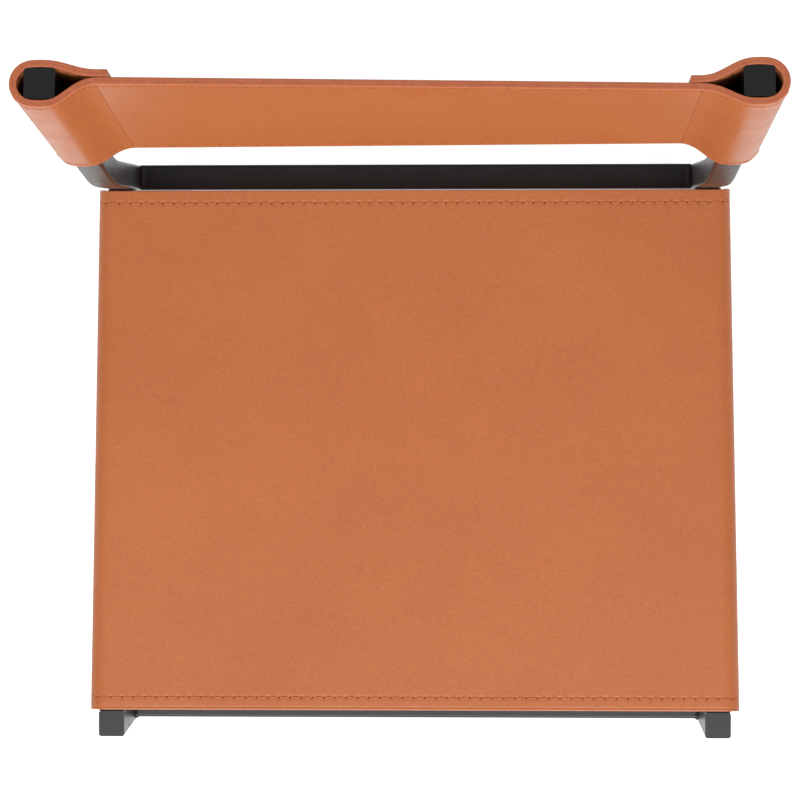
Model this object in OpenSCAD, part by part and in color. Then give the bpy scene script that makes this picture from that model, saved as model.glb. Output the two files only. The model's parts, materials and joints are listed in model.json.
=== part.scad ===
// Chair with a leather sling seat and a leather strap back, carried on a
// welded frame of square steel tube. Millimetres, +Z up, +Y to the back and
// -X to the left. The origin is on the floor under the middle of the chair.

/* [Frame] */
// Side of the square tube
tube = 20; // [18:1:24]
// Wall thickness of the tube
wall = 1.5; // [1.2:0.1:2]
// Outer corner radius of the tube
corner = 2; // [1:0.5:3]
// Width over the front legs
front_width = 495; // [440:5:540]
// Width over the rear legs
rear_width = 479; // [430:1:530]
// Depth over the legs, from front face to rear face
frame_depth = 449; // [400:1:500]
// Height of the front legs
front_height = 445; // [420:5:470]
// Fall of the side rails from front to back
seat_drop = 19; // [0:1:30]
// Radius of the weld fillets
weld = 4; // [2:0.5:5]

/* [Cross rails] */
// Height of the top of the front cross rail
front_rail_top = 376; // [340:1:390]
// Height of the top of the rear cross rail
rear_rail_top = 380; // [340:1:385]
// Set-back of the front cross rail from the faces of the legs
front_rail_inset = 3; // [1:0.5:4]

/* [Back posts] */
// Height of the middle of the post tops
overall_height = 810; // [760:5:860]
// Height at which the posts start to lean, where the two axes cross
bend_height = 520; // [500:5:540]
// Radius of the bend, on the axis of the tube
bend_radius = 300; // [150:10:400]
// Backward lean of the posts in degrees
lean = 9.8; // [5:0.1:13]

/* [Leather] */
// Thickness of one ply; seat and strap are two plies sewn together
ply = 2.4; // [1.8:0.1:3]
// Gap between the sling's edges and the front legs or the posts
edge_gap = 1.5; // [0.5:0.5:4]
// Height of the strap, measured along the posts
strap_height = 193; // [150:1:230]
// Distance of the stitching from the cut edges of the sling
seat_margin = 10; // [6:0.5:14]
// Distance of the stitching from the cut edges of the strap
strap_margin = 7; // [5:0.5:12]
// Pitch of the stitches
stitch_pitch = 8.8; // [6:0.1:12]

/* [Fixings] */
// Screws along each clamp strip
clamp_screws = 5; // [3:1:7]
// Width of the clamp strip
clamp_width = 14; // [12:1:15]
// Thickness of the clamp strip
clamp_thick = 3; // [2:0.5:4]
// Height of the floor glides below the tube
glide_height = 4; // [3:0.5:8]

/* [Hidden] */
$fn = 48;
LEFT = -1;
RIGHT = 1;

STEEL = "#2b2a2b";
NYLON = "#1c1c1d";
ZINC = "#b9bcc0";
LEATHER = "#c4743f";
LINING = "#b96d42";
THREAD = "#a85a33";

half = tube / 2;
bore = tube - 2 * wall;
cap = 2;                         // thickness of the welded end plates
bead_share = 0.4;                // height of the front rail's side welds, as a share of its inset

// The strap loop, seen along the post with the post's axis at the origin and
// the other post towards -x. Its neutral line runs between the two plies.
loop_reach = 4.4;                // centre of the round outer end
loop_radius = 13.1;              // radius of the round outer end
span_y = -0.5;                   // neutral line of the flat span
tail_y = span_y + 2 * ply + 0.2; // neutral line of the sewn-down tail
span_start = -36;                // where the span turns towards the post
front_turn = -5;                 // where it reaches the front of the loop
rear_turn = -3;                  // where the back of the loop turns to the tail
tail_start = -35.5;              // where it reaches the tail
tail_end = -43.5;                // cut end of the tail
span_handle = 13.5;              // how straight the front bend leaves the span,
front_handle = 9.5;              // reaches the front of the loop,
tail_handle = 12;                // and how the back bend runs at both its ends
seam_x = -36;                    // stitched seam that closes the loop

// Depth positions: front face of the front legs, axes of the legs.
post_length = (overall_height - bend_height) / cos(lean);
back_reach = post_length * sin(lean) + (loop_radius + ply) * cos(lean);
front_y = -(frame_depth - half + back_reach) / 2;
front_leg_y = front_y + half;
rear_leg_y = front_y + frame_depth - half;
front_leg_x = (front_width - tube) / 2;
rear_leg_x = (rear_width - tube) / 2;

// The side rails run between the rear faces of the front legs and the front
// faces of the posts. The seat plane is the plane of their top faces.
rail_run = frame_depth - 2 * tube;
rail_y = front_y + tube;
rail_top = front_height - 1;
seat_slope = atan(seat_drop / rail_run);
seat_length = rail_run / cos(seat_slope);
toe = atan((front_leg_x - rear_leg_x) / rail_run);

// The sling wraps round the outside of each rail and ends below it.
wrap_gap = 2.6;                  // air between the rail's outer face and the wrap
wrap_slack = 0.8;                // room below the rail for the rivet nut flanges
wrap_corner = 8.5;               // inner radius of the wrap's two bends
flap_end = -9;                   // inner end of the flap, from the rail's axis
clamp_x = -1;                    // middle of the clamp strip, from the rail's axis
sling_start = edge_gap;
sling_end = seat_length - edge_gap;

// The strap stands between these two distances along the post from its bend.
strap_top = post_length;
strap_bottom = post_length - strap_height;
strap_screw_inset = 40;          // distance of a post's screws from the strap's edges
strap_screw_heights = [strap_bottom + strap_screw_inset, strap_top - strap_screw_inset];

flap_bottom = half + wrap_slack + 2 * ply;   // underside of the flap, below the axis
clamp_inset = 12;                // distance of a clamp strip's ends from the ends of its rail
clamp_screw_inset = 30;          // distance of its end screws from the ends of its rail

// Button-head socket screws and blind rivet nuts.
screw_d = 4;
screw_hole = 4.4;
screw_grip = 14;                 // length of shank below the head
socket_d = 2.5;
socket_depth = 1.3;
head_d = 7.6;
head_height = 2.2;
nut_d = 6;
nut_flange_d = 9;
nut_flange = 0.5;
nut_length = 9;

// Sewing thread, drawn as flat stitches on the leather.
thread_width = 0.8;
thread_height = 0.4;
stitch = stitch_pitch - 2;       // length of the thread that shows between two needle holes

// Nylon glides.
plug_length = 14;
plug_gap = 0.3;                  // room round the plug inside the tube
rib = 1;                         // height of the ribs that grip the tube
rib_pitch = 4;
foot_step = 1;                   // height and depth of the step under the foot

// --- small shapes -----------------------------------------------------------

module rounded(w, h, r) {
    square([w - 2 * r, h], center = true);
    square([w, h - 2 * r], center = true);
    for (sx = [-1, 1], sy = [-1, 1])
        translate([sx * (w / 2 - r), sy * (h / 2 - r)]) circle(r);
}

module tube_outer() rounded(tube, tube, corner);

module tube_bore() rounded(bore, bore, corner / 2);

// A skin over a list of rings, each with the same number of points. A closed
// skin runs from the last ring back to the first; an open one has two ends.
module skin(rings, closed = false) {
    count = len(rings[0]);
    last = len(rings) - 1;
    polyhedron(
        points = [for (ring = rings, p = ring) p],
        faces = concat(
            [for (j = [0 : closed ? last : last - 1], i = [0 : count - 1])
                let (k = (j + 1) % (last + 1), n = (i + 1) % count)
                    [j * count + i, j * count + n, k * count + n, k * count + i]],
            closed ? [] : [
                [for (i = [count - 1 : -1 : 0]) i],
                [for (i = [0 : count - 1]) last * count + i]
            ]
        )
    );
}

module straight_tube(length) {
    difference() {
        linear_extrude(length) tube_outer();
        translate([0, 0, -1]) linear_extrude(length + 2) tube_bore();
    }
}

// A concave fillet of radius r along x, in the corner of the +y and +z faces.
module fillet(length, r) {
    rotate([90, 0, 90])
        translate([0, 0, -length / 2])
            linear_extrude(length)
                difference() {
                    square(r);
                    translate([r, r]) circle(r);
                }
}

// A screw whose head's seat is at the origin, with its shank along +z.
module screw() {
    cylinder(h = screw_grip, d = screw_d);
    mirror([0, 0, 1]) difference() {
        rotate_extrude() intersection() {
            translate([0, head_height - head_d]) circle(head_d);
            square([head_d / 2, head_height]);
        }
        translate([0, 0, head_height - socket_depth])
            cylinder(h = head_height, d = socket_d, $fn = 6);
    }
}

// A blind rivet nut with its flange's seat at the origin and its body along +z.
module rivet_nut() {
    difference() {
        union() {
            translate([0, 0, -nut_flange]) cylinder(h = nut_flange, d = nut_flange_d);
            cylinder(h = nut_length, d = nut_d);
        }
        translate([0, 0, -1]) cylinder(h = nut_length, d = screw_d);
    }
}

// --- places -----------------------------------------------------------------

// The seat plane: x across, y down the slope from the front, z out of the seat.
module in_seat() {
    translate([0, rail_y, rail_top]) rotate([-seat_slope, 0, 0]) children();
}

// The axis of one side rail: y along the rail, z out of the seat.
module on_rail(side) {
    in_seat()
        translate([side * front_leg_x, 0, -half])
            rotate([0, 0, side * toe]) children();
}

// The leaning part of the back: z along the posts, x across, y backwards.
module in_back() {
    translate([0, rear_leg_y, bend_height]) rotate([-lean, 0, 0]) children();
}

// --- frame ------------------------------------------------------------------

module front_leg(side) {
    color(STEEL)
        translate([side * front_leg_x, front_leg_y, glide_height])
            straight_tube(front_height - cap - glide_height);
}

// Corner points of a square of the given half width with rounded corners.
function square_ring(half_width, radius) = [
    for (quarter = [0 : 3], step = [0 : 4])
        let (a = 90 * quarter + 22.5 * step, c = 90 * quarter + 45)
            (half_width - radius) * sqrt(2) * [cos(c), sin(c)] + radius * [cos(a), sin(a)]
];

// Stations [y, z, angle] up a post's axis: floor end, bend, top end.
function post_stations() =
    let (tangent = bend_radius * tan(lean / 2), top = post_length - cap)
        concat(
            [[0, glide_height, 0]],
            [for (step = [0 : 8])
                let (a = lean * step / 8)
                    [
                        bend_radius * (1 - cos(a)),
                        bend_height - tangent + bend_radius * sin(a),
                        a
                    ]],
            [[top * sin(lean), bend_height + top * cos(lean), lean]]
        );

function placed_ring(ring, station) = [
    for (p = ring)
        [p.x, station[0] + p.y * cos(station[2]), station[1] - p.y * sin(station[2])]
];

// Vertical leg, bend and leaning post in one tube, with the rivet nut holes.
module rear_post(side) {
    stations = post_stations();
    outside = square_ring(half, corner);
    inside = square_ring(bore / 2, corner / 2);
    color(STEEL)
        difference() {
            translate([side * rear_leg_x, rear_leg_y, 0])
                skin(
                    concat(
                        [for (s = stations) placed_ring(outside, s)],
                        [for (i = [len(stations) - 1 : -1 : 0])
                            placed_ring(inside, stations[i])]
                    ),
                    closed = true
                );
            in_back()
                for (z = strap_screw_heights)
                    translate([side * rear_leg_x, 0, z])
                        rotate([-90, 0, 0]) cylinder(h = tube, d = nut_d);
        }
}

module side_rail(side) {
    color(STEEL)
        difference() {
            intersection() {
                on_rail(side)
                    translate([0, -tube, 0])
                        rotate([-90, 0, 0]) straight_tube(seat_length + 2 * tube);
                translate([-front_width, rail_y, 0])
                    cube([2 * front_width, rail_run, front_height + tube]);
            }
            on_rail(side)
                for (y = clamp_places())
                    translate([-clamp_x * side, y, -tube]) cylinder(h = tube, d = nut_d);
        }
}

module front_cross_rail() {
    depth = tube - 2 * front_rail_inset;
    length = 2 * (front_leg_x - half);
    color(STEEL)
        translate([-length / 2, front_leg_y, front_rail_top - half])
            rotate([90, 0, 90])
                difference() {
                    linear_extrude(length) rounded(depth, tube, corner);
                    translate([0, 0, -1])
                        linear_extrude(length + 2)
                            rounded(depth - 2 * wall, bore, corner / 2);
                }
}

module rear_cross_rail() {
    length = 2 * (rear_leg_x - half);
    color(STEEL)
        translate([-length / 2, rear_leg_y, rear_rail_top - half])
            rotate([90, 0, 90]) straight_tube(length);
}

module leg_cap(side) {
    color(STEEL)
        translate([side * front_leg_x, front_leg_y, front_height - cap])
            linear_extrude(cap) tube_outer();
}

module post_cap(side) {
    color(STEEL)
        in_back()
            translate([side * rear_leg_x, 0, post_length - cap])
                linear_extrude(cap) tube_outer();
}

// Fillets above and below the rail's end, on the inner face of a leg.
module rail_end_welds(side, leg_x, y, top, width) {
    for (up = [0, 1])
        translate([side * (leg_x - half), y, up ? top : top - tube])
            mirror([0, 0, up ? 0 : 1])
                rotate([0, 0, side > 0 ? 90 : -90]) fillet(width, weld);
}

module front_rail_welds() {
    flat = tube - 2 * front_rail_inset - 2 * corner;
    color(STEEL)
        for (side = [LEFT, RIGHT]) {
            rail_end_welds(side, front_leg_x, front_leg_y, front_rail_top, flat);
            for (face = [-1, 1])
                translate([
                    side * (front_leg_x - half),
                    front_leg_y + face * (half - front_rail_inset),
                    front_rail_top - half
                ])
                    mirror([0, face > 0 ? 0 : 1, 0])
                        mirror([side > 0 ? 1 : 0, 0, 0])
                            translate([0, 0, corner - half])
                                linear_extrude(tube - 2 * corner)
                                    difference() {
                                        square([weld, front_rail_inset * bead_share]);
                                        translate([weld, weld]) circle(weld);
                                    }
        }
}

module rear_rail_welds() {
    color(STEEL)
        for (side = [LEFT, RIGHT])
            rail_end_welds(side, rear_leg_x, rear_leg_y, rear_rail_top, tube - 2 * corner);
}

// Fillets below the side rails, on the leg in front and the post behind.
module side_rail_welds() {
    drop = tube / cos(seat_slope);
    color(STEEL)
        for (side = [LEFT, RIGHT]) {
            translate([side * front_leg_x, rail_y, rail_top - drop])
                mirror([0, 0, 1]) fillet(tube - 2 * corner, weld);
            translate([side * rear_leg_x, rail_y + rail_run, rail_top - seat_drop - drop])
                mirror([0, 1, 0]) mirror([0, 0, 1]) fillet(tube - 2 * corner, weld);
        }
}

// Nylon glide: a foot as wide as the tube, with a ribbed plug inside it.
module glide(x, y) {
    plug = bore - 2 * plug_gap;
    foot = tube - 2 * foot_step;
    color(NYLON)
        translate([x, y, 0]) {
            linear_extrude(foot_step) rounded(foot, foot, corner);
            translate([0, 0, foot_step])
                linear_extrude(glide_height - foot_step) tube_outer();
            translate([0, 0, glide_height])
                linear_extrude(plug_length) rounded(plug, plug, corner / 2);
            for (z = [rib_pitch : rib_pitch : plug_length - rib])
                translate([0, 0, glide_height + z - rib]) linear_extrude(rib) tube_bore();
        }
}

// --- sling seat ---------------------------------------------------------------

function clamp_places() = [
    for (i = [0 : clamp_screws - 1])
        clamp_screw_inset
            + i * (seat_length - 2 * clamp_screw_inset) / (clamp_screws - 1)
];

// Line of the sling at a distance out from its inner surface, from the end of
// the right-hand flap round the rail and over to the middle of the seat. The
// rail's axis is at x, and z = 0 is the seat plane.
function wrap_line(x, out) =
    let (
        centre = x + half + wrap_gap - wrap_corner,
        low = -tube - wrap_slack,
        r = wrap_corner + out
    )
        concat(
            [[x + flap_end, low - out]],
            [for (a = [-90 : 11.25 : 0]) [centre + r * cos(a), low + wrap_corner + r * sin(a)]],
            [for (a = [0 : 11.25 : 90]) [centre + r * cos(a), -wrap_corner + r * sin(a)]]
        );

// Both halves of that line, from the right-hand flap to the left-hand one.
function sling_line(x, out) =
    let (right = wrap_line(x, out))
        concat(right, [for (i = [len(right) - 1 : -1 : 0]) [-right[i].x, right[i].y]]);

// Distance of a rail's axis from the middle, at a distance y down the seat.
function rail_x(y) = front_leg_x - y * tan(toe);

// One ply as a row of four-cornered rings, from the right-hand flap's end round
// the rail, over the seat and round to the left-hand flap's end.
function sling_rings(from, to) =
    let (
        y = [sling_start, sling_end],
        inner = [for (d = y) sling_line(rail_x(d), from)],
        outer = [for (d = y) sling_line(rail_x(d), to)]
    )
        [for (i = [0 : len(inner[0]) - 1]) [
            [inner[0][i].x, y[0], inner[0][i].y],
            [inner[1][i].x, y[1], inner[1][i].y],
            [outer[1][i].x, y[1], outer[1][i].y],
            [outer[0][i].x, y[0], outer[0][i].y]
        ]];

module sling_ply(from, to) {
    difference() {
        in_seat() skin(sling_rings(from, to));
        for (side = [LEFT, RIGHT])
            on_rail(side)
                for (y = clamp_places())
                    translate([-clamp_x * side, y, -2 * tube])
                        cylinder(h = 2 * tube - half, d = screw_hole);
    }
}

module seat_top_leather() color(LEATHER) sling_ply(ply, 2 * ply);

module seat_lining() color(LINING) sling_ply(0, ply);

// Where stitch i starts in a row of count stitches that is centred on 0.
function stitch_start(i, count) = (i - (count - 1) / 2) * stitch_pitch - stitch / 2;

// A row of stitches along x, lying on the top face of the sling.
module seat_thread(y) {
    count = floor(2 * rail_x(y) / stitch_pitch);
    color(THREAD)
        in_seat()
            for (i = [0 : count - 1])
                translate([stitch_start(i, count), y - thread_width / 2, 2 * ply])
                    cube([stitch, thread_width, thread_height]);
}

module seat_front_thread() seat_thread(sling_start + seat_margin);

module seat_rear_thread() seat_thread(sling_end - seat_margin);

// Steel strip that holds the flap against the rail, painted like the frame.
module seat_clamp(side) {
    color(STEEL)
        on_rail(side)
            difference() {
                translate([
                    -clamp_x * side - clamp_width / 2,
                    clamp_inset,
                    -flap_bottom - clamp_thick
                ])
                    cube([clamp_width, seat_length - 2 * clamp_inset, clamp_thick]);
                for (y = clamp_places())
                    translate([-clamp_x * side, y, -2 * tube])
                        cylinder(h = 2 * tube, d = screw_hole);
            }
}

module clamp_screw_row(side) {
    color(ZINC)
        on_rail(side)
            for (y = clamp_places())
                translate([-clamp_x * side, y, -flap_bottom - clamp_thick]) screw();
}

module clamp_rivet_nuts(side) {
    color(ZINC)
        on_rail(side)
            for (y = clamp_places())
                translate([-clamp_x * side, y, -half]) rivet_nut();
}

// --- strap back -----------------------------------------------------------------

// A cubic curve from a to d that leaves and arrives along x. Its handles are
// the given distances long.
function s_curve(a, d, leave, arrive, steps = 12) =
    let (
        way = sign(d.x - a.x),
        b = a + [way * leave, 0],
        c = d - [way * arrive, 0]
    )
        [for (i = [0 : steps])
            let (t = i / steps, u = 1 - t)
                u * u * u * a + 3 * u * u * t * b + 3 * u * t * t * c + t * t * t * d];

// Neutral line of the loop round the right-hand post, from the span outwards.
function loop_line() = concat(
    s_curve([span_start, span_y], [front_turn, -loop_radius], span_handle, front_handle),
    [for (i = [0 : 18])
        let (a = -90 + 10 * i)
            [loop_reach + loop_radius * cos(a), loop_radius * sin(a)]],
    s_curve([rear_turn, loop_radius], [tail_start, tail_y], tail_handle, tail_handle),
    [[tail_end, tail_y]]
);

// The whole strap's neutral line, from the left tail to the right tail.
function strap_line() =
    let (loop = loop_line(), n = len(loop))
        concat(
            [for (i = [0 : n - 1]) [-rear_leg_x - loop[n - 1 - i].x, loop[n - 1 - i].y]],
            [for (p = loop) [rear_leg_x + p.x, p.y]]
        );

function unit(v) = v / norm(v);

// Normal of a line at point i, to the right of its direction.
function side_normal(line, i) =
    let (
        n = len(line) - 1,
        d = unit(line[min(i + 1, n)] - line[max(i - 1, 0)])
    )
        [d.y, -d.x];

function shifted(line, distance) = [
    for (i = [0 : len(line) - 1]) line[i] + distance * side_normal(line, i)
];

module strap_ply(from, to) {
    line = strap_line();
    back = shifted(line, to);
    difference() {
        in_back()
            translate([0, 0, strap_bottom])
                linear_extrude(strap_height)
                    polygon(concat(
                        shifted(line, from),
                        [for (i = [len(back) - 1 : -1 : 0]) back[i]]
                    ));
        in_back()
            for (side = [LEFT, RIGHT], z = strap_screw_heights)
                translate([side * rear_leg_x, 0, z])
                    rotate([-90, 0, 0]) cylinder(h = 2 * tube, d = screw_hole);
    }
}

module strap_leather() color(LEATHER) strap_ply(0, ply);

module strap_lining() color(LINING) strap_ply(-ply, 0);

// Stitches on the front face of the span, at one height along the posts.
module strap_thread(z) {
    count = floor(2 * (rear_leg_x + span_start) / stitch_pitch);
    color(THREAD)
        in_back()
            for (i = [0 : count - 1])
                translate([
                    stitch_start(i, count),
                    span_y - ply - thread_height,
                    z - thread_width / 2
                ])
                    cube([stitch, thread_height, thread_width]);
}

module strap_top_thread() strap_thread(strap_top - strap_margin);

module strap_bottom_thread() strap_thread(strap_bottom + strap_margin);

// The seam that closes a loop, as the stitches on the back of the tail.
module strap_seam_thread(side) {
    count = floor((strap_height - 2 * strap_margin) / stitch_pitch);
    middle = (strap_top + strap_bottom) / 2;
    color(THREAD)
        in_back()
            for (i = [0 : count - 1])
                translate([
                    side * (rear_leg_x + seam_x) - thread_width / 2,
                    tail_y + ply,
                    middle + stitch_start(i, count)
                ])
                    cube([thread_width, thread_height, stitch]);
}

module strap_screw_pair(side) {
    color(ZINC)
        in_back()
            for (z = strap_screw_heights)
                translate([side * rear_leg_x, loop_radius + ply, z])
                    rotate([90, 0, 0]) screw();
}

module strap_rivet_nuts(side) {
    color(ZINC)
        in_back()
            for (z = strap_screw_heights)
                translate([side * rear_leg_x, half, z])
                    rotate([90, 0, 0]) rivet_nut();
}

// --- nodes ------------------------------------------------------------------------

front_leg(LEFT);  // front_leg_left
front_leg(RIGHT);  // front_leg_right
rear_post(LEFT);  // rear_post_left
rear_post(RIGHT);  // rear_post_right
side_rail(LEFT);  // side_rail_left
side_rail(RIGHT);  // side_rail_right
front_cross_rail();
rear_cross_rail();
leg_cap(LEFT);  // leg_cap_left
leg_cap(RIGHT);  // leg_cap_right
post_cap(LEFT);  // post_cap_left
post_cap(RIGHT);  // post_cap_right
front_rail_welds();
rear_rail_welds();
side_rail_welds();
glide(-front_leg_x, front_leg_y);  // glide_front_left
glide(front_leg_x, front_leg_y);  // glide_front_right
glide(-rear_leg_x, rear_leg_y);  // glide_rear_left
glide(rear_leg_x, rear_leg_y);  // glide_rear_right
seat_top_leather();
seat_lining();
seat_front_thread();
seat_rear_thread();
seat_clamp(LEFT);  // seat_clamp_left
seat_clamp(RIGHT);  // seat_clamp_right
clamp_screw_row(LEFT);  // clamp_screws_left
clamp_screw_row(RIGHT);  // clamp_screws_right
clamp_rivet_nuts(LEFT);  // clamp_rivet_nuts_left
clamp_rivet_nuts(RIGHT);  // clamp_rivet_nuts_right
strap_leather();
strap_lining();
strap_top_thread();
strap_bottom_thread();
strap_seam_thread(LEFT);  // strap_seam_thread_left
strap_seam_thread(RIGHT);  // strap_seam_thread_right
strap_screw_pair(LEFT);  // strap_screws_left
strap_screw_pair(RIGHT);  // strap_screws_right
strap_rivet_nuts(LEFT);  // strap_rivet_nuts_left
strap_rivet_nuts(RIGHT);  // strap_rivet_nuts_right
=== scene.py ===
"""Looks for a chair with a leather sling seat and a leather strap back on a square tube frame.

The frame's steel, glides and fixings are the CAD nodes with better materials. The leather and
its stitching are built here, in the space of the CAD solids that they replace. Metres throughout.
"""

import json
import math

import bpy
from mathutils import Matrix, Vector, noise


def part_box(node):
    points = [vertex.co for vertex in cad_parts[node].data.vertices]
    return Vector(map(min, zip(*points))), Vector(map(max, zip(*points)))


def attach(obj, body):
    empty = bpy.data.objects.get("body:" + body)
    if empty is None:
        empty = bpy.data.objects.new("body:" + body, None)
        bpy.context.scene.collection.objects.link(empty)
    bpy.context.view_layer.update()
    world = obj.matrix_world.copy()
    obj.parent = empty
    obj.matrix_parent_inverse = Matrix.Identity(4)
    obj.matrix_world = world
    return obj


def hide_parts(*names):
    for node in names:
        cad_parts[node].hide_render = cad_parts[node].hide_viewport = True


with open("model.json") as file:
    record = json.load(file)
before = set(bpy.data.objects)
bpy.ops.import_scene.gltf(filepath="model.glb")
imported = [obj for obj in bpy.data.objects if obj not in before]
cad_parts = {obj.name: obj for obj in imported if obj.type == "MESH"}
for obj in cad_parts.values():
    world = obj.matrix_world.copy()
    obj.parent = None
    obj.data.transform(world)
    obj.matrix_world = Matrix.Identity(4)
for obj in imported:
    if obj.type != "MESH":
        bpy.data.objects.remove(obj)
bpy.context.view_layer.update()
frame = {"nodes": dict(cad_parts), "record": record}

# --- sizes read from the frame, and the few that the boxes don't hold ---------------------

MM = 0.001

leg_low, leg_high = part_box("front_leg_right")
TUBE = leg_high[0] - leg_low[0]
HALF = TUBE / 2
FRONT_LEG_X = (leg_low[0] + leg_high[0]) / 2

rear_low, rear_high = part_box("rear_cross_rail")
REAR_LEG_X = rear_high[0] + HALF
REAR_LEG_Y = (rear_low[1] + rear_high[1]) / 2

rail_low, rail_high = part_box("side_rail_right")
RAIL_Y = rail_low[1]
RAIL_TOP = rail_high[2]
RAIL_RUN = rail_high[1] - rail_low[1]
SLOPED_TUBE = TUBE * 1.001  # the height of the rail's section, cut upright through its slope
SEAT_DROP = rail_high[2] - rail_low[2] - SLOPED_TUBE
SEAT_SLOPE = math.atan(SEAT_DROP / RAIL_RUN)
SEAT_LENGTH = RAIL_RUN / math.cos(SEAT_SLOPE)
TOE = math.atan((FRONT_LEG_X - REAR_LEG_X) / RAIL_RUN)

PLY = 2.4 * MM
SKIVED = PLY - 0.04 * MM  # so that two plies sewn together don't share a surface
EDGE_GAP = 1.5 * MM
SEAT_MARGIN = 10 * MM
STRAP_MARGIN = 7 * MM
STITCH_PITCH = 8.8 * MM

# The sling's section round a rail, as in the CAD solid.
WRAP_GAP = 2.6 * MM
WRAP_SLACK = 0.8 * MM
WRAP_CORNER = 8.5 * MM
FLAP_END = -9 * MM
FOLD_SPREAD = 1.4 * MM  # how far the leather's ends spread where it folds over a rail

# The strap's section round a post, as in the CAD solid, seen along the post.
BEND_HEIGHT = 0.520
STRAP_HEIGHT = 0.193
LOOP_REACH = 4.4 * MM
LOOP_RADIUS = 13.1 * MM
SPAN_HANDLE = 13.5 * MM  # a curve's handle lengths where it leaves the span,
FRONT_HANDLE = 9.5 * MM  # where it meets the loop's front turn,
TAIL_HANDLE = 12 * MM    # and at both ends of the curve into the tail
SOFTENING = 4 * MM       # how far the leather's stiffness spreads a change of curvature
SPAN_START = -36 * MM
SPAN_Y = -0.5 * MM
FRONT_TURN = -5 * MM
REAR_TURN = -3 * MM
TAIL_START = -35.5 * MM
TAIL_GAP = 0.2 * MM
TAIL_END = -43.5 * MM
SEAM_X = -36 * MM
SEAM_END = 2.5 * MM  # from the strap's bottom edge

# The span doesn't hang quite true: how far its ends stand behind the CAD solid's.
SPAN_SHIFT = {
    "bottom": {"left": 0.9 * MM, "right": 2.9 * MM},
    "top": {"left": 2.3 * MM, "right": -3.1 * MM},
}

HALF_CAP = 1 * MM
cap_low, cap_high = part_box("post_cap_right")
cap_y = (cap_low[1] + cap_high[1]) / 2
cap_z = (cap_low[2] + cap_high[2]) / 2
LEAN = math.atan2(cap_y - REAR_LEG_Y, cap_z - BEND_HEIGHT)
STRAP_TOP = math.hypot(cap_y - REAR_LEG_Y, cap_z - BEND_HEIGHT) + HALF_CAP
STRAP_BOTTOM = STRAP_TOP - STRAP_HEIGHT


# --- node materials -----------------------------------------------------------------------

NOISE_LOW, NOISE_HIGH = 0.3, 0.7  # most of a noise texture lies between these
CELL_SMOOTHNESS = 0.6

# A Mix node has a socket of each kind for its inputs and outputs, so they go by number.
MIX_COLOURS_IN = (0, 6, 7)  # the factor and the two colours
MIX_COLOUR_OUT = 2
MIX_NUMBERS_IN = (0, 2, 3)  # the factor and the two numbers
MIX_NUMBER_OUT = 0


class Nodes:
    """Short calls for building one material's node tree."""

    def __init__(self, name):
        self.material = bpy.data.materials.new(name)
        self.material.use_nodes = True
        self.tree = self.material.node_tree
        self.tree.nodes.clear()
        self.output = self.tree.nodes.new("ShaderNodeOutputMaterial")
        self.shader = self.tree.nodes.new("ShaderNodeBsdfPrincipled")
        self.link(self.shader.outputs[0], self.output.inputs["Surface"])
        self.place = self.tree.nodes.new("ShaderNodeTexCoord").outputs["Object"]

    def link(self, a, b):
        self.tree.links.new(a, b)

    def set(self, sockets):
        """What is the same all over the surface."""
        for name, value in sockets.items():
            self.shader.inputs[name].default_value = value

    def vary(self, sockets):
        """What varies over the surface."""
        for name, value in sockets.items():
            self.link(value, self.shader.inputs[name])

    def noise(self, scale, detail=4.0, roughness=0.55):
        node = self.tree.nodes.new("ShaderNodeTexNoise")
        node.inputs["Scale"].default_value = scale
        node.inputs["Detail"].default_value = detail
        node.inputs["Roughness"].default_value = roughness
        self.link(self.place, node.inputs["Vector"])
        return node.outputs["Fac"]

    def cells(self, scale):
        node = self.tree.nodes.new("ShaderNodeTexVoronoi")
        node.feature = "SMOOTH_F1"
        node.inputs["Scale"].default_value = scale
        node.inputs["Smoothness"].default_value = CELL_SMOOTHNESS
        self.link(self.place, node.inputs["Vector"])
        return node.outputs["Distance"]

    def ramp(self, value, *stops):
        """A colour between two stops, each given as (place on the ramp, colour)."""
        node = self.tree.nodes.new("ShaderNodeValToRGB")
        for element, (position, colour) in zip(node.color_ramp.elements, stops):
            element.position = position
            element.color = (*colour, 1.0)
        self.link(value, node.inputs["Fac"])
        return node.outputs["Color"]

    def spread(self, value, low, high):
        """A noise's usual values, spread from low to high."""
        node = self.tree.nodes.new("ShaderNodeMapRange")
        node.inputs["From Min"].default_value = NOISE_LOW
        node.inputs["From Max"].default_value = NOISE_HIGH
        node.inputs["To Min"].default_value = low
        node.inputs["To Max"].default_value = high
        self.link(value, node.inputs["Value"])
        return node.outputs["Result"]

    def multiply(self, a, b):
        node = self.tree.nodes.new("ShaderNodeMix")
        node.data_type = "RGBA"
        node.blend_type = "MULTIPLY"
        factor, first, second = (node.inputs[i] for i in MIX_COLOURS_IN)
        factor.default_value = 1.0
        self.link(a, first)
        self.link(b, second)
        return node.outputs[MIX_COLOUR_OUT]

    def bump(self, height, distance, strength, under=None):
        node = self.tree.nodes.new("ShaderNodeBump")
        node.inputs["Distance"].default_value = distance
        node.inputs["Strength"].default_value = strength
        self.link(height, node.inputs["Height"])
        if under is not None:
            self.link(under, node.inputs["Normal"])
        return node.outputs["Normal"]


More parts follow.
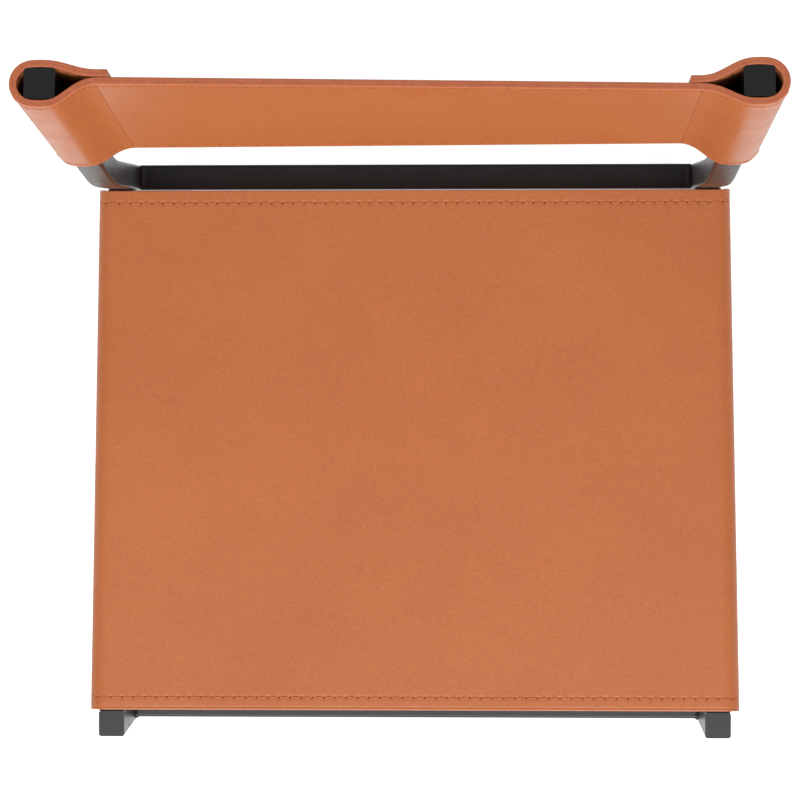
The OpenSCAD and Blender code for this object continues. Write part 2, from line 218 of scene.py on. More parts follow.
def leather(name, light, dark, rough, specular=0.36, grain=1.0):
    """Smooth waxed saddle leather: cloudy dye, fine pebbled grain and faint pores."""
    m = Nodes(name)
    clouds = m.noise(scale=7.0, detail=5.0, roughness=0.6)
    dye = m.ramp(clouds, (0.32, dark), (0.68, light))
    flecks = m.noise(scale=420.0, detail=3.0, roughness=0.7)
    pores = m.ramp(flecks, (0.30, (0.88, 0.84, 0.80)), (0.62, (1.0, 1.0, 1.0)))
    polish = m.spread(m.noise(scale=38.0), low=rough - 0.05, high=rough + 0.06)
    pebbles = m.bump(m.cells(scale=760.0), distance=0.22 * MM, strength=0.34 * grain)
    wrinkles = m.noise(scale=160.0, detail=6.0, roughness=0.7)
    creases = m.bump(wrinkles, distance=0.4 * MM, strength=0.13 * grain, under=pebbles)
    m.vary({"Base Color": m.multiply(dye, pores), "Roughness": polish, "Normal": creases})
    m.set({"Specular IOR Level": specular})
    return m.material


def edge_paint(name, rough, specular):
    """The painted and burnished cut edge of the leather, a little pinker than its face."""
    m = Nodes(name)
    fibres = m.noise(scale=240.0, detail=4.0, roughness=0.7)
    m.vary({
        "Base Color": m.ramp(fibres, (0.3, (0.45, 0.119, 0.053)), (0.7, (0.53, 0.157, 0.072))),
        "Roughness": m.spread(fibres, low=rough - 0.06, high=rough + 0.06),
        "Normal": m.bump(fibres, distance=0.2 * MM, strength=0.3),
    })
    m.set({"Specular IOR Level": specular})
    return m.material


def thread():
    """Waxed thread, with the slant of its twist."""
    m = Nodes("thread")
    wave = m.tree.nodes.new("ShaderNodeTexWave")
    wave.bands_direction = "DIAGONAL"
    wave.inputs["Scale"].default_value = 420.0
    wave.inputs["Distortion"].default_value = 0.6
    m.link(m.place, wave.inputs["Vector"])
    twist = wave.outputs["Fac"]
    m.vary({
        "Base Color": m.ramp(twist, (0.2, (0.43, 0.114, 0.033)), (0.8, (0.52, 0.152, 0.046))),
        "Normal": m.bump(twist, distance=0.12 * MM, strength=0.5),
    })
    m.set({"Roughness": 0.65, "Specular IOR Level": 0.15})
    return m.material


def needle_hole_shade():
    """Painted shade for a needle hole: a near-black colour that stands for the shadow inside it.
    """
    m = Nodes("needle_hole_shade")
    fibres = m.noise(scale=900.0, detail=3.0, roughness=0.6)
    m.vary({
        "Base Color": m.ramp(fibres, (0.3, (0.085, 0.017, 0.005)), (0.7, (0.15, 0.032, 0.009))),
        "Normal": m.bump(fibres, distance=0.2 * MM, strength=0.5),
    })
    m.set({"Roughness": 0.85, "Specular IOR Level": 0.1})
    return m.material


def powder_coat():
    """Satin black powder coat with a faint orange peel."""
    m = Nodes("black_powder_coat")
    dust = m.noise(scale=26.0, detail=6.0, roughness=0.65)
    grit = m.noise(scale=900.0, detail=2.0, roughness=0.5)
    peel = m.noise(scale=240.0, detail=2.0)
    fine = m.bump(grit, distance=0.15 * MM, strength=0.10)
    black = m.ramp(dust, (0.3, (0.0072, 0.0068, 0.0068)), (0.75, (0.0105, 0.0098, 0.0098)))
    m.vary({
        "Base Color": black,
        "Roughness": m.spread(m.noise(scale=70.0, detail=3.0), low=0.31, high=0.39),
        "Normal": m.bump(peel, distance=0.3 * MM, strength=0.05, under=fine),
    })
    return m.material


def nylon():
    """Moulded black nylon with a fine spark texture."""
    m = Nodes("black_nylon")
    spark = m.noise(scale=1400.0, detail=3.0, roughness=0.7)
    m.vary({
        "Base Color": m.ramp(spark, (0.3, (0.008, 0.008, 0.009)), (0.7, (0.018, 0.018, 0.02))),
        "Roughness": m.spread(m.noise(scale=90.0), low=0.55, high=0.7),
        "Normal": m.bump(spark, distance=0.1 * MM, strength=0.35),
    })
    return m.material


def zinc():
    """Bright zinc plate, slightly clouded."""
    m = Nodes("zinc_plate")
    clouds = m.noise(scale=110.0, detail=5.0, roughness=0.6)
    m.vary({
        "Base Color": m.ramp(clouds, (0.3, (0.46, 0.47, 0.49)), (0.7, (0.66, 0.67, 0.69))),
        "Roughness": m.spread(clouds, low=0.26, high=0.42),
        "Normal": m.bump(m.noise(scale=700.0), distance=0.1 * MM, strength=0.15),
    })
    m.set({"Metallic": 1.0})
    return m.material


LEATHER = leather("saddle_leather", light=(0.510, 0.151, 0.045), dark=(0.472, 0.135, 0.039),
                  rough=0.48)
# The strap's leather is a darker copy of the seat's: painted shade, for the strap's upright faces
# taking less light than the seat's top.
STRAP_LEATHER_SHADED = leather("strap_leather", light=(0.402, 0.114, 0.028), dark=(0.375, 0.103, 0.024),
                        rough=0.40, specular=0.5)
# The lining is a little darker than the face leather: partly its own tone, partly painted shade
# for the inside of the strap's loops.
LINING_TONE_AND_SHADE = leather("lining_leather", light=(0.47, 0.150, 0.055), dark=(0.40, 0.122, 0.044),
                 rough=0.62, grain=1.6)
SEAT_EDGE = edge_paint("seat_edge", rough=0.27, specular=0.5)
STRAP_EDGE = edge_paint("strap_edge", rough=0.55, specular=0.3)
THREAD = thread()
NEEDLE_HOLE_SHADE = needle_hole_shade()
STEEL = powder_coat()
NYLON = nylon()
ZINC = zinc()


# --- mesh building ------------------------------------------------------------------------


def mesh_piece(name, points, faces, materials, face_materials):
    """A smooth-shaded mesh that rides on the chair's one body."""
    mesh = bpy.data.meshes.new(name)
    mesh.from_pydata([tuple(p) for p in points], [], faces)
    for material in materials:
        mesh.materials.append(material)
    mesh.polygons.foreach_set("material_index", face_materials)
    mesh.polygons.foreach_set("use_smooth", [True] * len(faces))
    mesh.update()
    piece = bpy.data.objects.new(name, mesh)
    bpy.context.scene.collection.objects.link(piece)
    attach(piece, "root")
    return piece


def spaced(start, end, step):
    """Numbers from start to end, evenly spaced and at most step apart."""
    rounding = 1e-6
    count = max(1, math.ceil(abs(end - start) / step - rounding))
    return [start + (end - start) * i / count for i in range(count + 1)]


def joined(*runs):
    """Runs of numbers joined end to end, without repeating the shared ends."""
    out = list(runs[0])
    for run in runs[1:]:
        out += list(run)[1:]
    return out


FACE, EDGE = 0, 1        # a ply's materials,
STITCH, HOLE_SHADE = 0, 1      # and those of a row of stitches, the second being painted shade in the holes
ROUNDING_STEPS = 5
SEAT_ARRIS = 0.9 * MM    # rounding of the sewn leather's outer arrises
STRAP_ARRIS = 0.45 * MM
JOINT_ARRIS = 0.08 * MM  # rounding where the two plies meet, filled with edge paint
FLAT_START = 0.25 * MM   # a flat strip that keeps the rounding's shading on the rounding


def edge_stations(marks, half, radius, widest):
    """A ply's stations in one direction, as (place, height), rounded off at both ends.

    widest is the larger rounding of the ply's two faces, so that both have the same number.
    """
    turn = []
    for i in range(ROUNDING_STEPS):
        a = math.pi / 2 * i / (ROUNDING_STEPS - 1)
        turn.append((radius * (1 - math.sin(a)), half - radius * (1 - math.cos(a))))
    turn = [(radius + FLAT_START, half)] + turn
    flat = widest + 2 * FLAT_START
    middle = [(m, half) for m in marks if marks[0] + flat <= m <= marks[-1] - flat]
    start = [(marks[0] + d, h) for d, h in reversed(turn)]
    return start + middle + [(marks[-1] - d, h) for d, h in turn]


def ply_mesh(name, us, vs, place, thickness, arris, materials, joint_above):
    """A closed sheet of leather with rounded cut edges.

    place(u, v, h) gives the point at (u, v) on the sheet, h out from its middle surface. The
    first material is the face's and the second is the cut edge's. joint_above says that the
    other ply lies on the h > 0 face, and the arris is rounded on the face away from it.
    """
    half = thickness / 2
    radii = (JOINT_ARRIS, arris) if joint_above else (arris, JOINT_ARRIS)
    across = [edge_stations(vs, half, radius, arris) for radius in radii]
    along = [edge_stations(us, half, radius, arris) for radius in radii]

    # Each station along the sheet has a ring of points: across one face and back by the other.
    n = len(across[0])
    ring = 2 * n
    rings = len(along[0])
    points, faces, kinds = [], [], []
    for (u_up, h_up), (u_down, h_down) in zip(*along):
        points += [place(u_up, v, min(h_up, h)) for v, h in across[0]]
        points += [place(u_down, v, -min(h_down, h)) for v, h in reversed(across[1])]

    rim = ROUNDING_STEPS
    for j in range(rings - 1):
        at_end = j < rim - 1 or j > rings - 1 - rim
        for i in range(ring):
            k = (i + 1) % ring
            faces.append((j * ring + i, j * ring + k, (j + 1) * ring + k, (j + 1) * ring + i))
            column = min(i, ring - 2 - i)
            on_rim = column < rim - 1 or column > n - 1 - rim
            kinds.append(EDGE if on_rim or at_end else FACE)

    last = (rings - 1) * ring
    for i in range(n - 1):
        faces.append((i + 1, i, ring - 1 - i, ring - 2 - i))
        faces.append((last + i, last + i + 1, last + ring - 2 - i, last + ring - 1 - i))
        kinds += [EDGE, EDGE]
    return mesh_piece(name, points, faces, materials, kinds)


# A decorative crease is pressed along the seat's front edge.
CREASE_INSET = 2.4 * MM
CREASE_DEPTH = 0.22 * MM
CREASE_REACH = 1.0 * MM

# Stitches lie in a groove and pass through a pitted needle hole at each end.
GROOVE = 0.09 * MM
GROOVE_REACH = 2.2 * MM
PIT = 0.36 * MM
SHALLOW_PIT = 0.12 * MM  # where the leather is drawn in by the groove only
PIT_REACH = 2.4 * MM

THREAD_RADIUS = 0.36 * MM
THREAD_PINCH = 0.7    # its radius at a stitch's ends, as a share
THREAD_RISE = 0.06 * MM
THREAD_DIP = 0.62 * MM
THREAD_DIVE = 0.6     # less than 1 makes the thread turn down near a stitch's ends
THREAD_BOW = 0.3 * MM
THREAD_STEPS = 8
THREAD_SIDES = 8
STITCH_INSET = 0.06   # the share of the pitch that a stitch leaves free at each end

# Each needle hole gets a dark disc: painted shade that stands for the shadow inside the hole.
HOLE_LENGTH = 1.7 * MM
HOLE_WIDTH = 0.95 * MM
HOLE_SLANT = math.radians(28)
HOLE_LIFT = 0.16 * MM  # how far its disc of painted shade stands above the pit's bottom
HOLE_CROWN = 0.04 * MM
HOLE_DEPTH = 0.2 * MM
HOLE_SIDES = 10
NUDGE = 0.1            # of a stitch, to tell which way its row runs

# Where a ply's mesh is fine, so that it holds those shapes.
BAND_REACH = 4 * MM    # to either side of a row of stitches
BAND_STEP = 0.9 * MM
CREASE_BAND_REACH = 1.2 * MM
CREASE_BAND_STEP = 0.3 * MM


def hollow(distance, reach):
    """A smooth dip: 1 at no distance, 0 from reach outwards."""
    t = min(1.0, abs(distance) / reach)
    return (1 - t * t) ** 2


def pucker(along, off):
    """How far the leather is drawn in, at a place along a row of stitches and off to its side.

    along counts stitches, with a hole at each whole number.
    """
    if abs(off) > PIT_REACH:
        return 0.0
    to_hole = (along - round(along)) * STITCH_PITCH
    return GROOVE * hollow(off, GROOVE_REACH) + PIT * hollow(math.hypot(to_hole, off), PIT_REACH)


def stitch_row(name, runs, pit=PIT):
    """Rows of separate stitches, with a dark disc of painted shade in the needle hole between one
    and the next.

    runs is a list of (surface, first, last): surface(t) gives a point on the leather before it
    was drawn in and the direction out of it, where t counts stitches. The leather is drawn in
    by the groove and the pit at each hole.
    """
    points, faces, kinds = [], [], []
    steps, sides, rim = THREAD_STEPS, THREAD_SIDES, HOLE_SIDES

    def stitch(surface, i):
        first = len(points)
        across = surface(i + 1)[0] - surface(i)[0]
        for j in range(steps + 1):
            share = j / steps
            on, out = surface(i + STITCH_INSET + (1 - 2 * STITCH_INSET) * share)
            side = across.cross(out).normalized()
            arch = math.sin(math.pi * share)
            up = arch**THREAD_DIVE
            rise = THREAD_RISE * up - THREAD_DIP * (1 - up)
            fat = THREAD_RADIUS * (THREAD_PINCH + (1 - THREAD_PINCH) * arch)
            for k in range(sides):
                a = 2 * math.pi * k / sides
                aside = THREAD_BOW * arch + fat * math.cos(a)
                points.append(on + out * (rise + fat * math.sin(a)) + side * aside)
        for j in range(steps):
            for k in range(sides):
                a, b, n = first + j * sides, first + (j + 1) * sides, (k + 1) % sides
                faces.append((a + k, b + k, b + n, a + n))
        faces.append(tuple(first + k for k in range(sides)))
        faces.append(tuple(first + steps * sides + k for k in reversed(range(sides))))
        kinds.extend([STITCH] * (steps * sides + 2))

    # A dark disc of painted shade, for the shadow inside the needle hole.
    def hole(surface, i):
        first = len(points)
        on, out = surface(i)
        along = (surface(i + NUDGE)[0] - surface(i - NUDGE)[0]).normalized()
        side = out.cross(along)
        long = along * math.cos(HOLE_SLANT) + side * math.sin(HOLE_SLANT)
        short = out.cross(long)
        floor_of_pit = on - out * (GROOVE + pit - HOLE_LIFT)
        for k in range(rim):
            a = 2 * math.pi * k / rim
            across = long * HOLE_LENGTH / 2 * math.cos(a) + short * HOLE_WIDTH / 2 * math.sin(a)
            points.append(floor_of_pit + across)
        points.extend([floor_of_pit + out * HOLE_CROWN, floor_of_pit - out * HOLE_DEPTH])
        for k in range(rim):
            n = (k + 1) % rim
            faces.append((first + k, first + n, first + rim))
            faces.append((first + n, first + k, first + rim + 1))
        kinds.extend([HOLE_SHADE] * (2 * rim))

    for surface, start, end in runs:
        for i in range(start, end):
            stitch(surface, i)
        for i in range(start, end + 1):
            hole(surface, i)
    return mesh_piece(name, points, faces, [THREAD, NEEDLE_HOLE_SHADE], kinds)


def face_of(place, level, way):
    """A sheet's face as surface(u, v), which gives a point and the direction out of it.

    place(u, v, h) gives a point of the sheet. The face is at h = level, and way is 1 or -1.
    """

    def surface(u, v):
        on = place(u, v, level)
        return on, (place(u, v, level + way * MM) - on).normalized()

    return surface


def edge_runs(faces, line, middle, count):
    """The runs of a row of stitches along v = line on each face, to either side of u = middle."""
    return [
        (lambda t, f=face: f(middle + t * STITCH_PITCH, line), -count, count)
        for face in faces
    ]


# --- the sling seat -----------------------------------------------------------------------

SLING_START = EDGE_GAP
SLING_END = SEAT_LENGTH - EDGE_GAP
STITCH_LINES = (SLING_START + SEAT_MARGIN, SLING_END - SEAT_MARGIN)

EDGE_SAG = 0.5 * MM   # how far the sling hangs between the rails at its front and rear edges,
EXTRA_SAG = 1.9 * MM  # and how much further halfway down the seat
WAVE_HEIGHT = 0.35 * MM
WAVE_FREQUENCY = 9
WAVE_SLICE = 3.1      # any place in the noise, off its whole numbers
ON_TOP = 0.99         # the leather sags and waves where its normal points up by more than this

# Steps of the sling's mesh: across it, on the flaps, round the rails and on either ply's span,
# and down it away from the stitches.
FLAP_STEP = 4 * MM
BEND_STEP = 1.3 * MM
TOP_STEP = STITCH_PITCH / 12
LINING_STEP = 2 * TOP_STEP
SEAT_FAR_STEP = 18 * MM

in_seat = Matrix.Translation((0, RAIL_Y, RAIL_TOP)) @ Matrix.Rotation(-SEAT_SLOPE, 4, "X")

wrap_x = HALF + WRAP_GAP - WRAP_CORNER
FLAP = wrap_x - FLAP_END
ARC = math.pi / 2 * WRAP_CORNER
SIDE = TUBE + WRAP_SLACK - 2 * WRAP_CORNER
SPAN = FRONT_LEG_X + wrap_x
SLING_LENGTH = 2 * (FLAP + 2 * ARC + SIDE + SPAN)


def sling_section(u):
    """(x, z, normal x, normal z) at a distance u along the right half, from its flap's end.

    The flap lies under the rail. Then come a bend, the rail's side, a bend and the span.
    """
    low = -TUBE - WRAP_SLACK
    x = FRONT_LEG_X + wrap_x
    if u < FLAP:
        return FRONT_LEG_X + FLAP_END + u, low, 0.0, -1.0
    u -= FLAP
    if u < ARC:
        a = u / WRAP_CORNER - math.pi / 2
        c, s = math.cos(a), math.sin(a)
        return x + WRAP_CORNER * c, low + WRAP_CORNER * (1 + s), c, s
    u -= ARC
    if u < SIDE:
        return x + WRAP_CORNER, low + WRAP_CORNER + u, 1.0, 0.0
    u -= SIDE
    if u < ARC:
        a = u / WRAP_CORNER
        c, s = math.cos(a), math.sin(a)
        return x + WRAP_CORNER * c, WRAP_CORNER * (s - 1), c, s
    return x - (u - ARC), 0.0, 0.0, 1.0


def sling_point(u, v, out, relief=0.0):
    """A point of the sling: u across it, v down the seat, out from its inner surface."""
    right = u < SLING_LENGTH / 2
    x, z, nx, nz = sling_section(u if right else SLING_LENGTH - u)
    v += FOLD_SPREAD * (1 - abs(nz)) * (2 * v / SEAT_LENGTH - 1)
    toe_in = v * math.tan(TOE) * min(1.0, x / (FRONT_LEG_X + wrap_x))
    across = min(1.0, x / FRONT_LEG_X)
    middle = 1 - (2 * v / SEAT_LENGTH - 1) ** 2
    side = 1 if right else -1
    sag = wave = 0.0
    if nz > ON_TOP:
        sag = (EDGE_SAG + EXTRA_SAG * middle) * (1 - across**2)
        spot = Vector((side * x * WAVE_FREQUENCY, v * WAVE_FREQUENCY, WAVE_SLICE))
        wave = WAVE_HEIGHT * noise.noise(spot)
    d = out - relief
    local = Vector((side * (x - toe_in + nx * d), v, z + nz * d - sag + wave * (1 - across)))
    return in_seat @ local


def sling_us(step):
    """Stations across the sling: close together round the rails, step apart on the span."""
    bend = FLAP + 2 * ARC + SIDE
    ends = joined(spaced(0, FLAP, FLAP_STEP), spaced(FLAP, bend, BEND_STEP))
    other = [SLING_LENGTH - u for u in reversed(ends)]
    return joined(ends, spaced(bend, SLING_LENGTH - bend, step), other)


def rows(start, end, bands, far):
    """Stations from start to end: far apart, but fine in the bands (middle, reach, step)."""
    runs, at = [], start
    for middle, reach, step in bands:
        runs.append(spaced(at, middle - reach, far))
        runs.append(spaced(middle - reach, middle + reach, step))
        at = middle + reach
    return joined(*runs, spaced(at, end, far))


def seat():
    """The sling's two plies and the stitches along its front and rear edges."""
    middle = SLING_LENGTH / 2
    crease = SLING_START + CREASE_INSET
    bands = [(crease, CREASE_BAND_REACH, CREASE_BAND_STEP)]
    bands += [(line, BAND_REACH, BAND_STEP) for line in STITCH_LINES]
    vs = rows(SLING_START, SLING_END, bands, SEAT_FAR_STEP)

    def drawn_in(u, v):
        return sum(pucker((u - middle) / STITCH_PITCH, v - line) for line in STITCH_LINES)

    def top(u, v, h):
        pressed = CREASE_DEPTH * hollow(v - crease, CREASE_REACH)
        return sling_point(u, v, 1.5 * PLY + h, drawn_in(u, v) + pressed if h > 0 else 0.0)

    def under(u, v, h):
        return sling_point(u, v, 0.5 * PLY + h, -drawn_in(u, v) if h < 0 else 0.0)

    top_ply = ply_mesh("seat_top_ply", sling_us(TOP_STEP), vs, top, SKIVED, SEAT_ARRIS,
                       [LEATHER, SEAT_EDGE], joint_above=False)
    lining = ply_mesh("seat_lining_ply", sling_us(LINING_STEP), vs, under, SKIVED, SEAT_ARRIS,
                      [LINING_TONE_AND_SHADE, SEAT_EDGE], joint_above=True)
    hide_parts("seat_top_leather")
    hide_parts("seat_lining")

    count = int((middle - FLAP) / STITCH_PITCH)
    faces = [face_of(sling_point, 2 * PLY, 1), face_of(sling_point, 0.0, -1)]
    for end, line in zip(("front", "rear"), STITCH_LINES):
        row = stitch_row(f"seat_{end}_stitches", edge_runs(faces, line, middle, count))
        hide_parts(f"seat_{end}_thread")


# --- the strap back -----------------------------------------------------------------------

# Steps of the strap's line: in a curve, round a post (in degrees), and once it is softened.
CURVE_STEPS = 24
TURN_STEP = 5
SOFTENED_STEP = 0.5 * MM

# Steps of the strap's mesh: along the strap, and up it away from the stitches.
STRAP_STEP = STITCH_PITCH / 10
STRAP_FAR_STEP = 8 * MM

TANGENT_REACH = 0.8 * MM  # which way the leather runs is told from this far to either side
ROW_END = 3 * MM          # what a row of stitches leaves free at each end, at least

in_back = Matrix.Translation((0, REAR_LEG_Y, BEND_HEIGHT)) @ Matrix.Rotation(-LEAN, 4, "X")


def s_curve(a, d, leave, arrive):
    """A cubic curve from a to d that leaves and arrives along x, by its handles' lengths."""
    way = math.copysign(1, d[0] - a[0])
    b = (a[0] + way * leave, a[1])
    c = (d[0] - way * arrive, d[1])
    for i in range(CURVE_STEPS + 1):
        t = i / CURVE_STEPS
        s = 1 - t
        shares = (s**3, 3 * s * s * t, 3 * s * t * t, t**3)
        yield tuple(sum(share * p[k] for share, p in zip(shares, (a, b, c, d))) for k in (0, 1))


def loop_line(span_y):
    """The strap's neutral line round the right-hand post, from the span to the tail's end."""
    r = LOOP_RADIUS
    tail_y = span_y + 2 * PLY + TAIL_GAP
    line = list(s_curve((SPAN_START, span_y), (FRONT_TURN, -r), SPAN_HANDLE, FRONT_HANDLE))
    for degrees in range(-90, 91, TURN_STEP):
        a = math.radians(degrees)
        line.append((LOOP_REACH + r * math.cos(a), r * math.sin(a)))
    line += list(s_curve((REAR_TURN, r), (TAIL_START, tail_y), TAIL_HANDLE, TAIL_HANDLE))
    line.append((TAIL_END, tail_y))
    return line


class Path:
    """A polyline in a plane, read by the share of its length."""

    def __init__(self, line):
        self.points = [Vector(p) for p in line]
        self.marks = [0.0]
        for a, b in zip(self.points, self.points[1:]):
            self.marks.append(self.marks[-1] + (b - a).length)
        self.length = self.marks[-1]

    def at(self, share):
        u = min(max(share, 0.0), 1.0) * self.length
        low, high = 0, len(self.marks) - 1
        while high - low > 1:
            mid = (low + high) // 2
            if self.marks[mid] <= u:
                low = mid
            else:
                high = mid
        t = (u - self.marks[low]) / (self.marks[high] - self.marks[low])
        return self.points[low].lerp(self.points[high], t)

    def softened(self):
        """The same line with its changes of curvature spread out, as in stiff leather."""
        count = math.ceil(self.length / SOFTENED_STEP)
        points = []
        for i in range(count + 1):
            share = i / count
            near = min(SOFTENING / self.length, share, 1 - share)
            around = self.at(share - near).lerp(self.at(share + near), 0.5)
            points.append(self.at(share).lerp(around, 0.5))
        return Path(points)


def strap_path(edge):
    """The whole neutral line along one edge, from the left tail's end to the right tail's end."""
    left = loop_line(SPAN_Y + SPAN_SHIFT[edge]["left"])
    right = loop_line(SPAN_Y + SPAN_SHIFT[edge]["right"])
    line = [(-REAR_LEG_X - x, y) for x, y in reversed(left)]
    line += [(REAR_LEG_X + x, y) for x, y in right]
    return Path(line).softened()


STRAP_PATHS = {edge: strap_path(edge) for edge in SPAN_SHIFT}
STRAP_LENGTH = sum(path.length for path in STRAP_PATHS.values()) / len(STRAP_PATHS)
LOOP_LENGTH = Path(loop_line(SPAN_Y)).softened().length
TAIL_SEAM = SEAM_X - TAIL_END


def strap_point(u, z, out, relief=0.0):
    """A point of the strap: u along it, z up the posts, out from the surface between the plies."""
    height = (z - STRAP_BOTTOM) / STRAP_HEIGHT
    shares = [at / STRAP_LENGTH for at in (u - TANGENT_REACH, u, u + TANGENT_REACH)]
    before, p, after = (
        STRAP_PATHS["bottom"].at(share).lerp(STRAP_PATHS["top"].at(share), height)
        for share in shares
    )
    d = (after - before).normalized()
    distance = out - relief
    return in_back @ Vector((p.x + d.y * distance, p.y - d.x * distance, z))


def strap():
    """The strap's two plies, the stitches along its edges and the seams that close its loops."""
    lines = (STRAP_BOTTOM + STRAP_MARGIN, STRAP_TOP - STRAP_MARGIN)
    middle = STRAP_LENGTH / 2
    seams = (LOOP_LENGTH, STRAP_LENGTH - LOOP_LENGTH, TAIL_SEAM, STRAP_LENGTH - TAIL_SEAM)
    bands = [(line, BAND_REACH, BAND_STEP) for line in lines]
    vs = rows(STRAP_BOTTOM, STRAP_TOP, bands, STRAP_FAR_STEP)
    us = spaced(0, STRAP_LENGTH, STRAP_STEP)

    def drawn_in(u, v):
        depth = sum(pucker((u - middle) / STITCH_PITCH, v - line) for line in lines)
        return depth + sum(GROOVE * hollow(u - seam, GROOVE_REACH) for seam in seams)

    def outer(u, v, h):
        return strap_point(u, v, 0.5 * PLY + h, drawn_in(u, v) if h > 0 else 0.0)

    def inner(u, v, h):
        return strap_point(u, v, -0.5 * PLY + h, -drawn_in(u, v) if h < 0 else 0.0)

    # The outer ply is the one on the front of the span and on the outside of the loops.
    outer_ply = ply_mesh("strap_outer_ply", us, vs, outer, SKIVED, STRAP_ARRIS,
                         [STRAP_LEATHER_SHADED, STRAP_EDGE], joint_above=False)
    inner_ply = ply_mesh("strap_inner_ply", us, vs, inner, SKIVED, STRAP_ARRIS,
                         [LINING_TONE_AND_SHADE, STRAP_EDGE], joint_above=True)
    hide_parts("strap_leather")
    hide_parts("strap_lining")

    count = int((middle - ROW_END) / STITCH_PITCH)
    faces = [face_of(strap_point, way * PLY, way) for way in (1, -1)]
    for end, line in zip(("bottom", "top"), lines):
        row = stitch_row(f"strap_{end}_stitches", edge_runs(faces, line, middle, count))
        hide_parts(f"strap_{end}_thread")

    start = STRAP_BOTTOM + SEAM_END
    count = round((lines[1] - start) / STITCH_PITCH)
    pitch = (lines[1] - start) / count
    outside = faces[0]
    for side, on_span, on_tail in (("left", seams[0], seams[2]), ("right", seams[1], seams[3])):
        runs = [
            (lambda t, u=seam: outside(u, start + t * pitch), 0, count)
            for seam in (on_span, on_tail)
        ]
        row = stitch_row(f"strap_seam_stitches_{side}", runs, SHALLOW_PIT)
        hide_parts(f"strap_seam_thread_{side}")


# --- CAD nodes that stay ------------------------------------------------------------------

CAD_MATERIALS = {
    "frame_paint": STEEL,
    "nylon": NYLON,
    "zinc": ZINC,
    "saddle_leather": LEATHER,
    "lining_leather": LINING_TONE_AND_SHADE,
    "thread": THREAD,
}


def dress_cad_nodes():
    """Each CAD node's own material, by the slot that the record gives it."""
    slots = {part["node"]: part["material_slot"] for part in frame["record"]["subparts"]}
    for name, node in frame["nodes"].items():
        for slot in node.material_slots:
            slot.material = CAD_MATERIALS[slots[name]]


# --- studio -------------------------------------------------------------------------------

WHITE = (1.0, 1.0, 1.0, 1.0)
FLOOR_REACH = 12.0

# The sky's strength goes by the direction's parts: along Y from the front to the back, and
# along Z from the horizon up.
FRONT_AT, BACK_AT = -0.46, 0.09
FRONT_STRENGTH, BACK_STRENGTH = 1.8, 0.31
HORIZON_AT, HIGH_AT = 0.0, 0.8
HORIZON_SHARE, HIGH_SHARE = 0.27, 1.0


def floor():
    """A pale floor that glows a little, so that it is as evenly light as the photo's."""
    m = Nodes("floor")
    clouds = m.noise(scale=2.0)
    m.vary({"Base Color": m.ramp(clouds, (0.3, (0.49, 0.49, 0.49)), (0.7, (0.51, 0.51, 0.51)))})
    m.set({"Roughness": 0.9, "Emission Color": WHITE, "Emission Strength": 0.8})
    mesh = bpy.data.meshes.new("studio_floor")
    r = FLOOR_REACH
    mesh.from_pydata([(-r, -r, 0), (r, -r, 0), (r, r, 0), (-r, r, 0)], [], [(0, 1, 2, 3)])
    mesh.materials.append(m.material)
    plane = bpy.data.objects.new("studio_floor", mesh)
    bpy.context.scene.collection.objects.link(plane)


def area_light(name, place, aim, size, power):
    """A rectangular light at place, turned towards aim."""
    light = bpy.data.lights.new(name, "AREA")
    light.shape = "RECTANGLE"
    light.size, light.size_y = size
    light.energy = power
    lamp = bpy.data.objects.new(name, light)
    lamp.location = place
    lamp.rotation_euler = (Vector(aim) - Vector(place)).to_track_quat("-Z", "Y").to_euler()
    bpy.context.scene.collection.objects.link(lamp)


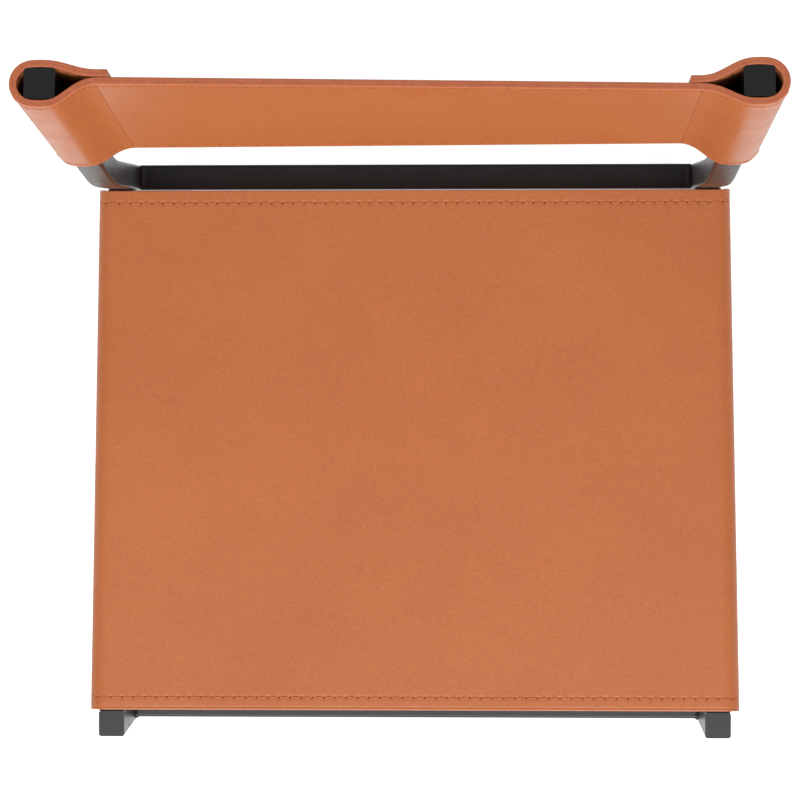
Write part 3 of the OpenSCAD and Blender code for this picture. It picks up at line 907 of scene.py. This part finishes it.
def sky():
    """A soft sky, bright in front and dim behind, and plain white where the camera sees it."""
    world = bpy.data.worlds.new("studio")
    world.use_nodes = True
    tree = world.node_tree
    background = tree.nodes["Background"]
    place = tree.nodes.new("ShaderNodeTexCoord")
    split = tree.nodes.new("ShaderNodeSeparateXYZ")
    tree.links.new(place.outputs["Generated"], split.inputs[0])

    def fade(axis, start, end, first, last):
        """A factor that goes from first to last as the direction's part does from start to end."""
        node = tree.nodes.new("ShaderNodeMapRange")
        node.interpolation_type = "SMOOTHSTEP"
        sockets = ("From Min", "From Max", "To Min", "To Max")
        for socket, value in zip(sockets, (start, end, first, last)):
            node.inputs[socket].default_value = value
        tree.links.new(split.outputs[axis], node.inputs["Value"])
        return node.outputs["Result"]

    strength = tree.nodes.new("ShaderNodeMath")
    strength.operation = "MULTIPLY"
    to_back = fade("Y", FRONT_AT, BACK_AT, FRONT_STRENGTH, BACK_STRENGTH)
    upwards = fade("Z", HORIZON_AT, HIGH_AT, HORIZON_SHARE, HIGH_SHARE)
    tree.links.new(to_back, strength.inputs[0])
    tree.links.new(upwards, strength.inputs[1])
    plain = tree.nodes.new("ShaderNodeMix")
    factor, lighting, seen = (plain.inputs[i] for i in MIX_NUMBERS_IN)
    camera_ray = tree.nodes.new("ShaderNodeLightPath").outputs["Is Camera Ray"]
    tree.links.new(camera_ray, factor)
    tree.links.new(strength.outputs[0], lighting)
    seen.default_value = 1.0
    tree.links.new(plain.outputs[MIX_NUMBER_OUT], background.inputs["Strength"])
    background.inputs["Color"].default_value = WHITE
    bpy.context.scene.world = world


def studio():
    floor()
    sky()
    area_light("key_front", place=(0.0, -1.45, 2.6), aim=(0, 0, 0.4), size=(2.1, 0.9), power=38)
    bpy.context.scene.view_settings.view_transform = "Standard"


# The photo's camera, as fitted to the edges of the tubes and the leather. Its turn is in
# radians, and its sensor and lens are in millimetres.
CAMERA_PLACE = (0.0530, 0.1360, 2.5241)
CAMERA_TURN = (-0.0594, 0.0303, -0.0020)
SENSOR = 36.0
LENS = 120.63
FARTHEST_SEEN = 50.0


def camera():
    """Almost straight above the back of the seat, looking down."""
    data = bpy.data.cameras.new("camera")
    data.sensor_width = SENSOR
    data.lens = LENS
    data.clip_end = FARTHEST_SEEN
    cam = bpy.data.objects.new("camera", data)
    cam.location = CAMERA_PLACE
    cam.rotation_euler = CAMERA_TURN
    bpy.context.scene.collection.objects.link(cam)
    bpy.context.scene.camera = cam


dress_cad_nodes()
seat()
strap()
studio()
camera()
